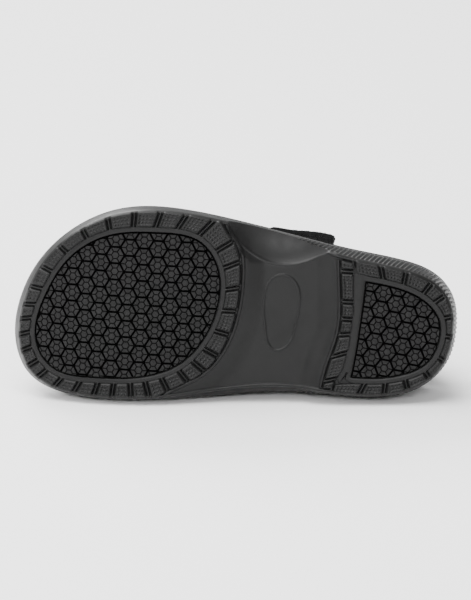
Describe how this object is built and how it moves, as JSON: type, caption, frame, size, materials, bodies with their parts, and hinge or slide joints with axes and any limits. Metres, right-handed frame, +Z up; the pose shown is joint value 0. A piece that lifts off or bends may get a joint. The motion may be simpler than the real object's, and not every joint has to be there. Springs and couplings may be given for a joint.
{
  "type": "clog",
  "caption": "Closed-toe moulded foam work clog, left foot, with ring-lugged sole, rubber tread pads and textile back strap, lying on its inner side.",
  "frame": {"origin": "middle of the bounding box in plan, on the floor that the clog lies on", "axes": "+X along the clog towards the heel, +Y from the tread towards the top of the clog, +Z up, towards its outer side; the tread faces -Y and is tipped about 8 degrees upwards"},
  "size_m": [0.2654, 0.0988, 0.117],
  "materials": {
    "sole_foam": "charcoal moulded foam, matt with a fine satin sheen",
    "upper_foam": "charcoal moulded foam, satin",
    "insole_foam": "charcoal foam footbed, matt",
    "tread_rubber": "black rubber, matt",
    "strap_textile": "black woven textile with looped pile"
  },
  "bodies": {
    "root": {"sole": "sole_foam", "upper": "upper_foam", "insole": "insole_foam", "forefoot_tread": "tread_rubber", "heel_tread": "tread_rubber", "strap": "strap_textile"}
  },
  "joints": []
}
